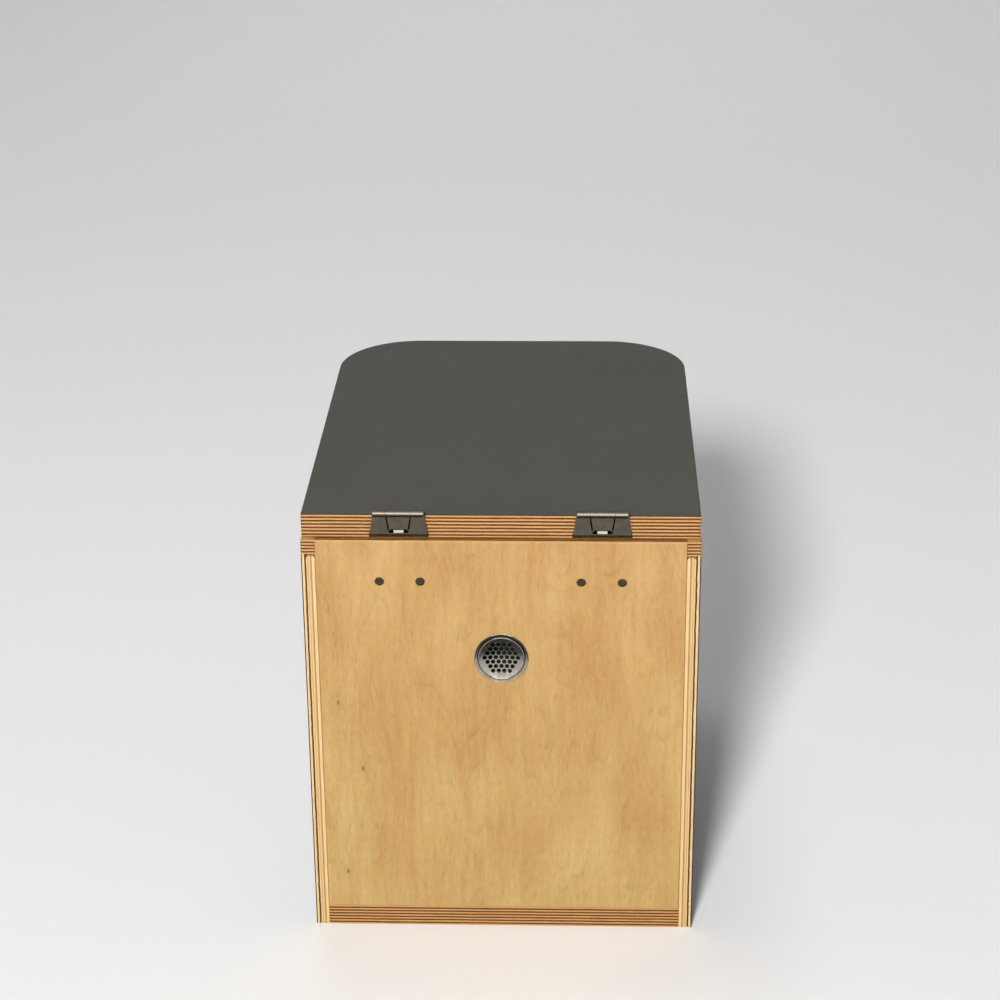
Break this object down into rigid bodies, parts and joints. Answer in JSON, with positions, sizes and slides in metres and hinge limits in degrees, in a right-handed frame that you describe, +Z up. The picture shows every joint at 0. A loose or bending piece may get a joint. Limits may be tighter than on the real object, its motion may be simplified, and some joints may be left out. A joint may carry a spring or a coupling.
{
  "type": "dry toilet box",
  "caption": "Compact box seat: hinged lid over a seat board with a separating insert, canister and bucket inside, rounded front corners and a vented plywood back.",
  "frame": {"origin": "on the floor, in the middle of the footprint of the whole object, hinges included", "axes": "+Z up, +Y towards the hinged back panel, -Y towards the rounded front, X across the box"},
  "size_m": [0.3116, 0.4108, 0.3762],
  "materials": {
    "bent_plywood": "sawn laminated edge, oiled",
    "dark_laminate": "matt high-pressure laminate",
    "birch_plywood": "oiled, plies showing on the edges",
    "birch_panel": "clear-oiled face veneer, grain upright",
    "softwood": "planed",
    "screw_steel": "zinc-plated",
    "stainless_steel": "pressed stainless steel, satin",
    "hinge_steel": "nickel-plated, satin",
    "bumper_rubber": "matt",
    "insert_plastic": "smooth moulded",
    "canister_plastic": "blow-moulded",
    "bucket_plastic": "moulded",
    "bail_wire": "zinc-plated wire",
    "grip_plastic": "moulded"
  },
  "bodies": {
    "cabinet": {"shell_core": "bent_plywood", "shell_laminate": "dark_laminate", "base_board": "birch_plywood", "seat_board": "birch_plywood", "back_panel": "birch_panel", "corner_battens": "softwood", "seat_cleats": "softwood", "locating_battens": "softwood", "panel_dowels": "softwood", "panel_screws": "screw_steel", "vent_flange": "stainless_steel", "vent_grille": "stainless_steel", "hinge_body_arm_left": "hinge_steel", "hinge_pin_left": "hinge_steel", "mounting_plate_left": "hinge_steel", "hinge_body_arm_right": "hinge_steel", "hinge_pin_right": "hinge_steel", "mounting_plate_right": "hinge_steel", "arm_screws": "screw_steel", "separator_insert": "insert_plastic", "urine_canister": "canister_plastic", "solids_bucket": "bucket_plastic", "bucket_handle": "bail_wire", "handle_grip": "grip_plastic"},
    "lid": {"lid_board": "birch_plywood", "lid_laminate": "dark_laminate", "lid_bumpers": "bumper_rubber", "hinge_lid_arm_left": "hinge_steel", "hinge_lid_arm_right": "hinge_steel", "hinge_cup_left": "hinge_steel", "hinge_cup_right": "hinge_steel", "arm_rivets": "screw_steel", "cup_screws": "screw_steel"}
  },
  "joints": [
    {"name": "lid_hinge", "type": "hinge", "parent": "cabinet", "child": "lid", "pos_m": [0, 0.20262, 0.3735], "axis": [-1, 0, 0], "range_deg": [0, 240]}
  ]
}
